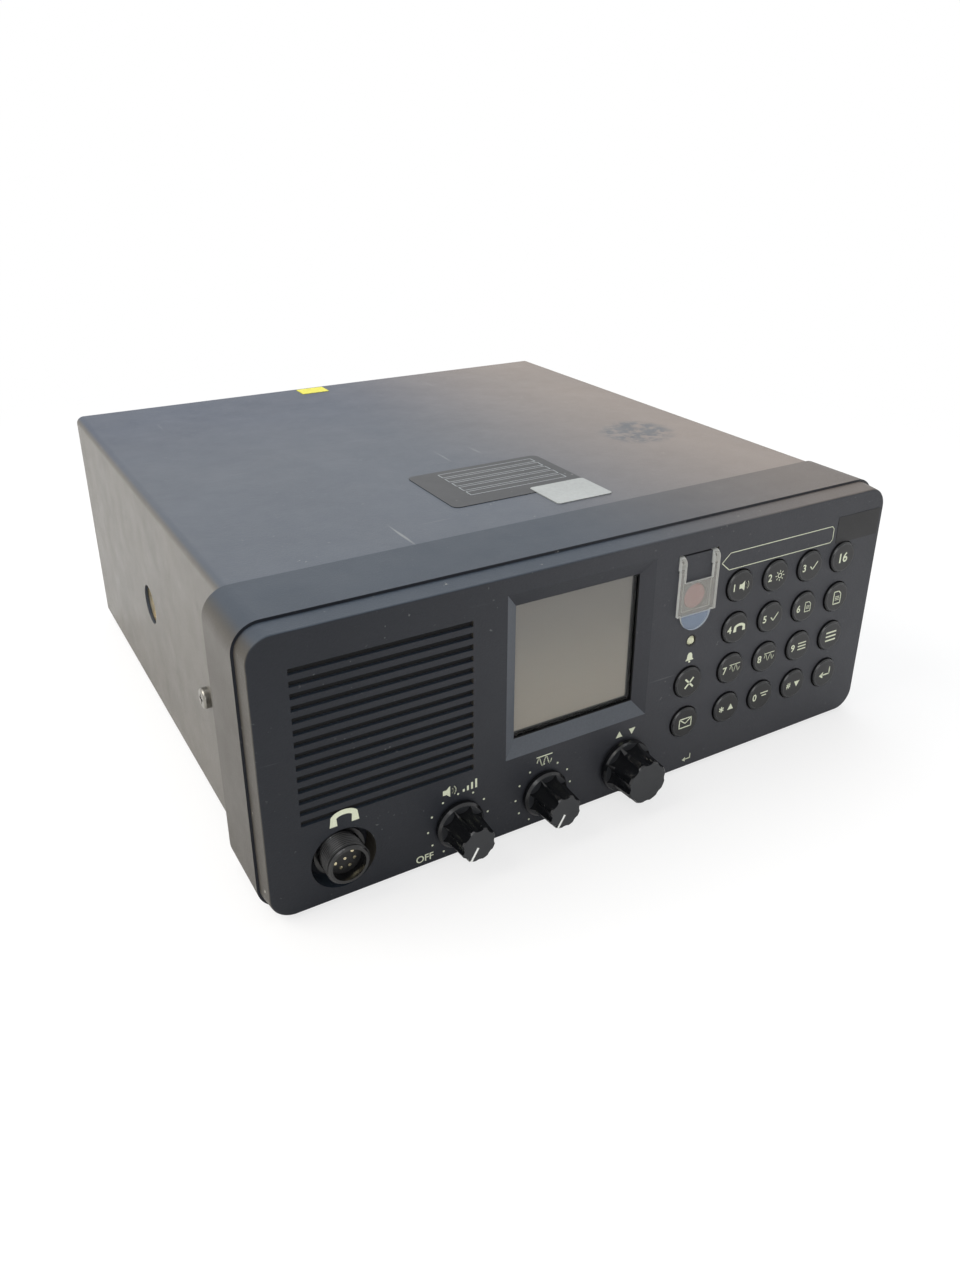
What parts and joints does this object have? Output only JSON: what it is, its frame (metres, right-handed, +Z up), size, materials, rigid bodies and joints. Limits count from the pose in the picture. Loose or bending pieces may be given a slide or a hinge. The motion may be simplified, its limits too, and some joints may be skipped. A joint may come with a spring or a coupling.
{
  "type": "vhf marine radio",
  "caption": "Fixed-mount marine VHF radiotelephone with louvred speaker, square display, turning knobs, round handset socket, round keys and a hinged clear cover over its distress button.",
  "frame": {"origin": "centre of the overall bounding box in X and Y, on the surface it stands on", "axes": "-Y points out of the front panel at the user, +Y to the rear, +X to the user's right, +Z up"},
  "size_m": [0.28, 0.2988, 0.1095],
  "materials": {
    "panel_paint": "satin, finely textured",
    "cover_paint": "satin, finely textured",
    "chassis_steel": "zinc plated",
    "foot_rubber": "matte",
    "bush_brass": "bare",
    "side_screw_steel": "bright",
    "screw_steel": "bright",
    "gasket_rubber": "matte",
    "window_clear": "clear",
    "display_black": "matte",
    "display_grey": "satin",
    "speaker_cloth_black": "matte",
    "speaker_steel": "plated",
    "speaker_paper": "matte",
    "magnet_dark": "matte",
    "knob_black": "gloss with a matte front",
    "shaft_metal": "bright",
    "control_case": "plated",
    "socket_black": "satin black",
    "insert_black": "matte",
    "button_red": "gloss",
    "cover_clear": "clear",
    "lamp_pale": "diffused",
    "board_green": "lacquered",
    "switch_black": "matte",
    "can_tin": "tinned",
    "module_black": "matte",
    "sink_black": "black anodised",
    "aerial_nickel": "nickel plated",
    "aerial_insulator": "matte",
    "inlet_black": "matte",
    "key_black": "matte with a worn rim"
  },
  "bodies": {
    "housing": {"front_panel": "panel_paint", "top_cover": "cover_paint", "chassis": "chassis_steel", "rubber_feet": "foot_rubber", "bracket_bushes": "bush_brass", "side_screws": "side_screw_steel", "window_gasket": "gasket_rubber", "display_window": "window_clear", "display_frame": "display_black", "display_glass": "display_grey", "speaker_cloth": "speaker_cloth_black", "speaker_frame": "speaker_steel", "speaker_cone": "speaker_paper", "speaker_magnet": "magnet_dark", "dial_pots": "control_case", "channel_encoder": "control_case", "handset_socket": "socket_black", "handset_insert": "insert_black", "handset_nut": "bush_brass", "hinge_pin": "screw_steel", "alarm_lamp": "lamp_pale", "front_board": "board_green", "key_switches": "switch_black", "main_board": "board_green", "shield_can": "can_tin", "power_module": "module_black", "small_screws": "screw_steel", "heat_sink": "sink_black", "antenna_socket": "aerial_nickel", "antenna_insert": "aerial_insulator", "power_inlet": "inlet_black", "data_connector": "can_tin", "earth_stud": "bush_brass"},
    "key_1_cap": {"key_1": "key_black"},
    "key_2_cap": {"key_2": "key_black"},
    "key_3_cap": {"key_3": "key_black"},
    "key_4_cap": {"key_4": "key_black"},
    "key_5_cap": {"key_5": "key_black"},
    "key_6_cap": {"key_6": "key_black"},
    "key_7_cap": {"key_7": "key_black"},
    "key_8_cap": {"key_8": "key_black"},
    "key_9_cap": {"key_9": "key_black"},
    "key_star_cap": {"key_star": "key_black"},
    "key_0_cap": {"key_0": "key_black"},
    "key_hash_cap": {"key_hash": "key_black"},
    "enter_key_cap": {"enter_key": "key_black"},
    "menu_key_cap": {"menu_key": "key_black"},
    "file_key_cap": {"file_key": "key_black"},
    "home_key_cap": {"home_key": "key_black"},
    "call_key_cap": {"call_key": "key_black"},
    "cancel_key_cap": {"cancel_key": "key_black"},
    "distress_cap": {"distress_button": "button_red"},
    "distress_lid": {"distress_cover": "cover_clear"},
    "volume_control": {"volume_knob": "knob_black", "volume_shaft": "shaft_metal"},
    "squelch_control": {"squelch_knob": "knob_black", "squelch_shaft": "shaft_metal"},
    "channel_slider": {"channel_plunger": "shaft_metal"},
    "channel_control": {"channel_knob": "knob_black", "channel_shaft": "shaft_metal"}
  },
  "joints": [
    {"name": "key_1_press", "type": "slide", "parent": "housing", "child": "key_1_cap", "axis": [0, 1, 0], "range_m": [0, 0.001], "stiffness_N_per_m": 400, "springref_m": -0.0005},
    {"name": "key_2_press", "type": "slide", "parent": "housing", "child": "key_2_cap", "axis": [0, 1, 0], "range_m": [0, 0.001], "stiffness_N_per_m": 400, "springref_m": -0.0005},
    {"name": "key_3_press", "type": "slide", "parent": "housing", "child": "key_3_cap", "axis": [0, 1, 0], "range_m": [0, 0.001], "stiffness_N_per_m": 400, "springref_m": -0.0005},
    {"name": "key_4_press", "type": "slide", "parent": "housing", "child": "key_4_cap", "axis": [0, 1, 0], "range_m": [0, 0.001], "stiffness_N_per_m": 400, "springref_m": -0.0005},
    {"name": "key_5_press", "type": "slide", "parent": "housing", "child": "key_5_cap", "axis": [0, 1, 0], "range_m": [0, 0.001], "stiffness_N_per_m": 400, "springref_m": -0.0005},
    {"name": "key_6_press", "type": "slide", "parent": "housing", "child": "key_6_cap", "axis": [0, 1, 0], "range_m": [0, 0.001], "stiffness_N_per_m": 400, "springref_m": -0.0005},
    {"name": "key_7_press", "type": "slide", "parent": "housing", "child": "key_7_cap", "axis": [0, 1, 0], "range_m": [0, 0.001], "stiffness_N_per_m": 400, "springref_m": -0.0005},
    {"name": "key_8_press", "type": "slide", "parent": "housing", "child": "key_8_cap", "axis": [0, 1, 0], "range_m": [0, 0.001], "stiffness_N_per_m": 400, "springref_m": -0.0005},
    {"name": "key_9_press", "type": "slide", "parent": "housing", "child": "key_9_cap", "axis": [0, 1, 0], "range_m": [0, 0.001], "stiffness_N_per_m": 400, "springref_m": -0.0005},
    {"name": "key_star_press", "type": "slide", "parent": "housing", "child": "key_star_cap", "axis": [0, 1, 0], "range_m": [0, 0.001], "stiffness_N_per_m": 400, "springref_m": -0.0005},
    {"name": "key_0_press", "type": "slide", "parent": "housing", "child": "key_0_cap", "axis": [0, 1, 0], "range_m": [0, 0.001], "stiffness_N_per_m": 400, "springref_m": -0.0005},
    {"name": "key_hash_press", "type": "slide", "parent": "housing", "child": "key_hash_cap", "axis": [0, 1, 0], "range_m": [0, 0.001], "stiffness_N_per_m": 400, "springref_m": -0.0005},
    {"name": "enter_key_press", "type": "slide", "parent": "housing", "child": "enter_key_cap", "axis": [0, 1, 0], "range_m": [0, 0.001], "stiffness_N_per_m": 400, "springref_m": -0.0005},
    {"name": "menu_key_press", "type": "slide", "parent": "housing", "child": "menu_key_cap", "axis": [0, 1, 0], "range_m": [0, 0.001], "stiffness_N_per_m": 400, "springref_m": -0.0005},
    {"name": "file_key_press", "type": "slide", "parent": "housing", "child": "file_key_cap", "axis": [0, 1, 0], "range_m": [0, 0.001], "stiffness_N_per_m": 400, "springref_m": -0.0005},
    {"name": "home_key_press", "type": "slide", "parent": "housing", "child": "home_key_cap", "axis": [0, 1, 0], "range_m": [0, 0.001], "stiffness_N_per_m": 400, "springref_m": -0.0005},
    {"name": "call_key_press", "type": "slide", "parent": "housing", "child": "call_key_cap", "axis": [0, 1, 0], "range_m": [0, 0.001], "stiffness_N_per_m": 400, "springref_m": -0.0005},
    {"name": "cancel_key_press", "type": "slide", "parent": "housing", "child": "cancel_key_cap", "axis": [0, 1, 0], "range_m": [0, 0.001], "stiffness_N_per_m": 400, "springref_m": -0.0005},
    {"name": "distress_press", "type": "slide", "parent": "housing", "child": "distress_cap", "axis": [0, 1, 0], "range_m": [0, 0.0015], "stiffness_N_per_m": 400, "springref_m": -0.0005},
    {"name": "distress_lid_swing", "type": "hinge", "parent": "housing", "child": "distress_lid", "pos_m": [0.0368, -0.13205, 0.096], "axis": [-1, 0, 0], "range_deg": [0, 100], "stiffness_Nm_per_rad": 0.001, "springref_deg": -11.46},
    {"name": "volume_turn", "type": "hinge", "parent": "housing", "child": "volume_control", "pos_m": [-0.0673, -0.13325, 0.0156], "axis": [0, 1, 0], "range_deg": [0, 300]},
    {"name": "squelch_turn", "type": "hinge", "parent": "housing", "child": "squelch_control", "pos_m": [-0.0307, -0.13325, 0.0156], "axis": [0, 1, 0], "range_deg": [0, 300]},
    {"name": "channel_push", "type": "slide", "parent": "housing", "child": "channel_slider", "axis": [0, 1, 0], "range_m": [0, 0.0008], "stiffness_N_per_m": 600, "springref_m": -0.0005},
    {"name": "channel_turn", "type": "hinge", "parent": "channel_slider", "child": "channel_control", "pos_m": [0.0066, -0.13325, 0.0156], "axis": [0, 1, 0], "continuous": true}
  ]
}
